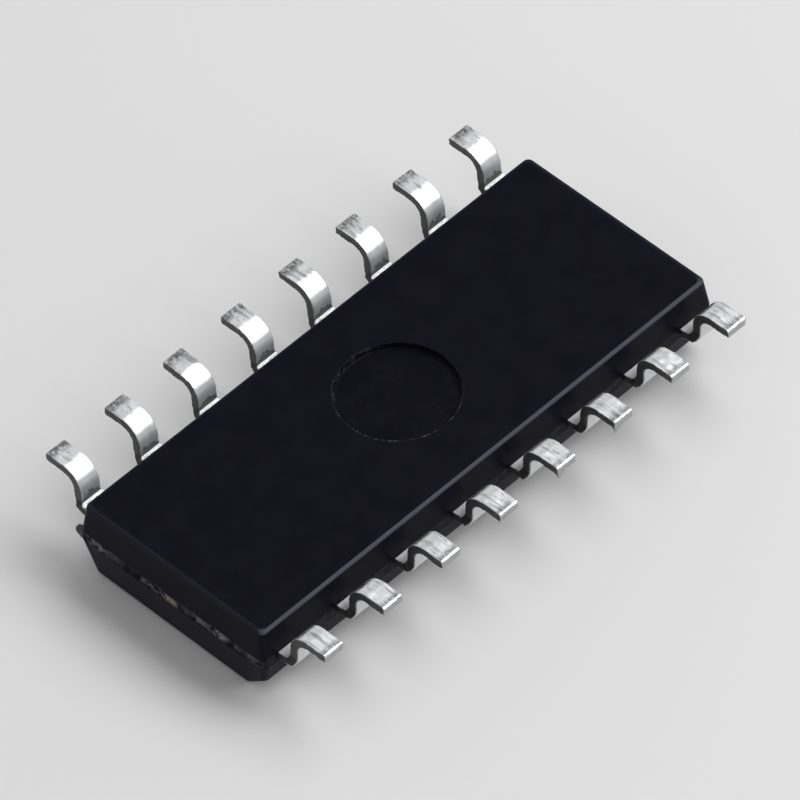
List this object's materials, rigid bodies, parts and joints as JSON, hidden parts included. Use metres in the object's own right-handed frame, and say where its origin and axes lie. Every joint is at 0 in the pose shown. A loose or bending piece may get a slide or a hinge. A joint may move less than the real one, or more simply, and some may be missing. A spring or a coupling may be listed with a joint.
{
  "type": "integrated circuit",
  "caption": "Small-outline surface-mount integrated circuit with gull-wing leads, moulded body, ejector-pin recess and a bevelled edge, lying belly up.",
  "frame": {"origin": "centre of the object's footprint, on the flat marked face that it rests on", "axes": "+Z out of the belly, the way the soles of the feet look, because the chip lies belly up; +X along the body's long axis towards the end of lead 1; the row of leads 1 to 8 and the bevel are on the -Y side"},
  "size_m": [0.01, 0.006, 0.0017],
  "materials": {
    "mold_compound": "matt black filled epoxy, slightly satin on the belly",
    "tin_plating": "bright to matt tin plating over copper alloy",
    "copper_alloy": "bare copper alloy",
    "attach_epoxy": "silver-filled epoxy",
    "silicon": "polished silicon",
    "bond_gold": "bright gold wire"
  },
  "bodies": {
    "root": {"mold_body": "mold_compound", "lead_01": "tin_plating", "lead_02": "tin_plating", "lead_03": "tin_plating", "lead_04": "tin_plating", "lead_05": "tin_plating", "lead_06": "tin_plating", "lead_07": "tin_plating", "lead_08": "tin_plating", "lead_09": "tin_plating", "lead_10": "tin_plating", "lead_11": "tin_plating", "lead_12": "tin_plating", "lead_13": "tin_plating", "lead_14": "tin_plating", "lead_15": "tin_plating", "lead_16": "tin_plating", "die_pad": "copper_alloy", "die_attach": "attach_epoxy", "die": "silicon", "bond_wire_01": "bond_gold", "bond_wire_02": "bond_gold", "bond_wire_03": "bond_gold", "bond_wire_04": "bond_gold", "bond_wire_05": "bond_gold", "bond_wire_06": "bond_gold", "bond_wire_07": "bond_gold", "bond_wire_08": "bond_gold", "bond_wire_09": "bond_gold", "bond_wire_10": "bond_gold", "bond_wire_11": "bond_gold", "bond_wire_12": "bond_gold", "bond_wire_13": "bond_gold", "bond_wire_14": "bond_gold", "bond_wire_15": "bond_gold", "bond_wire_16": "bond_gold"}
  },
  "joints": []
}
